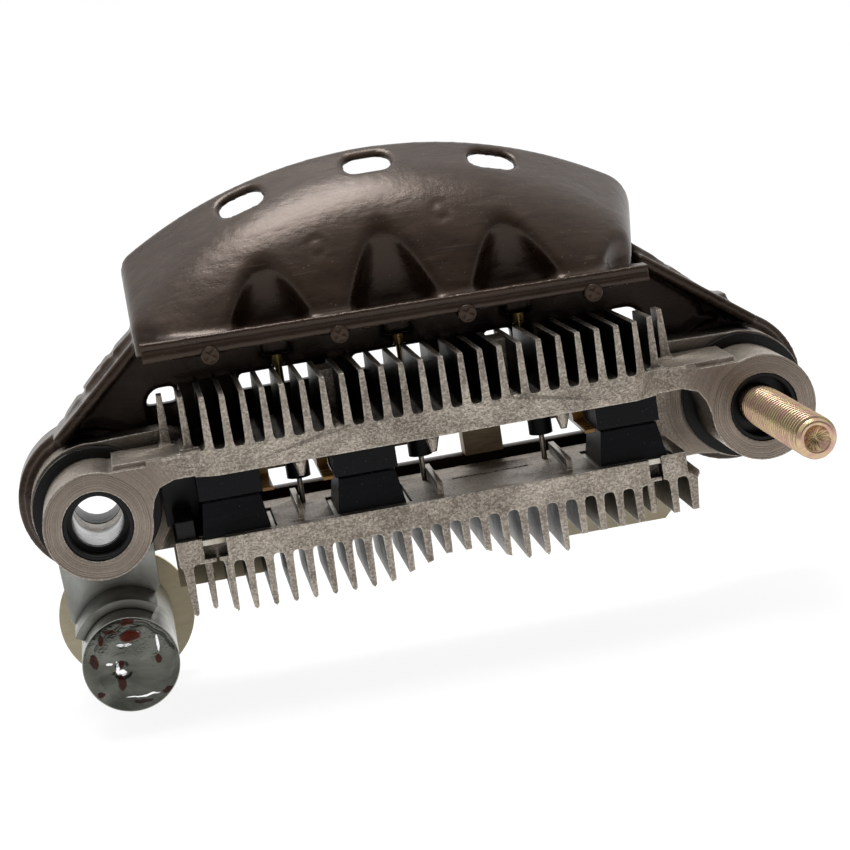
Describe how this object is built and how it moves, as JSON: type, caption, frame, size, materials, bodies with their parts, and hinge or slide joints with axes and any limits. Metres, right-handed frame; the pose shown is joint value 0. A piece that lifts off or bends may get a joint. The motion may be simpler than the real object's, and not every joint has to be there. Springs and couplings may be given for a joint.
{
  "type": "alternator rectifier",
  "caption": "Alternator rectifier: two finned heat sinks with diodes between them, a domed moulded cover, two ears, an output bolt and a suppression capacitor.",
  "frame": {"origin": "axis of the left mounting hole, on the seat face that meets the alternator's end bracket", "axes": "+X from the left ear to the output bolt's ear, +Y rearward along the holes, +Z away from the alternator's shaft, to the crown of the cover"},
  "size_m": [0.1191, 0.0539, 0.0746],
  "materials": {
    "cast_aluminium": "as cast, dull, fine grit",
    "brown_phenolic": "moulded, satin",
    "black_plastic": "moulded, satin",
    "plated_steel": "turned, plated",
    "yellow_plated_steel": "yellow chromate plating",
    "can_metal": "drawn, satin",
    "solder": "smeared solder with dark red varnish",
    "cream_fibre": "pressed fibre",
    "brown_fibre": "varnished fibre",
    "zinc_steel": "dull zinc",
    "tinned_copper": "tinned",
    "laminate": "layered board with a cream top",
    "black_epoxy": "moulded epoxy",
    "varnished_copper": "amber varnish",
    "brass": "drawn"
  },
  "bodies": {
    "root": {"positive_heatsink": "cast_aluminium", "negative_heatsink": "cast_aluminium", "terminal_cover": "brown_phenolic", "insulating_bush_left": "black_plastic", "insulating_bush_right": "black_plastic", "mounting_sleeve": "plated_steel", "output_bolt": "yellow_plated_steel", "capacitor_can": "can_metal", "capacitor_end_seal": "solder", "capacitor_disc": "cream_fibre", "capacitor_bracket": "zinc_steel", "capacitor_lead": "tinned_copper", "right_insulating_sheet": "cream_fibre", "left_insulating_sheet": "brown_fibre", "terminal_block": "laminate", "insulating_block": "black_plastic", "positive_diode_1": "black_epoxy", "negative_diode_1": "black_epoxy", "diode_base_plate_1": "tinned_copper", "diode_strap_1": "varnished_copper", "exciter_diode_1": "black_epoxy", "exciter_diode_lead_1": "tinned_copper", "stator_terminal_1": "brass", "positive_diode_2": "black_epoxy", "negative_diode_2": "black_epoxy", "diode_base_plate_2": "tinned_copper", "diode_strap_2": "varnished_copper", "exciter_diode_2": "black_epoxy", "exciter_diode_lead_2": "tinned_copper", "stator_terminal_2": "brass", "positive_diode_3": "black_epoxy", "negative_diode_3": "black_epoxy", "diode_base_plate_3": "tinned_copper", "diode_strap_3": "varnished_copper", "exciter_diode_3": "black_epoxy", "exciter_diode_lead_3": "tinned_copper", "stator_terminal_3": "brass"}
  },
  "joints": []
}
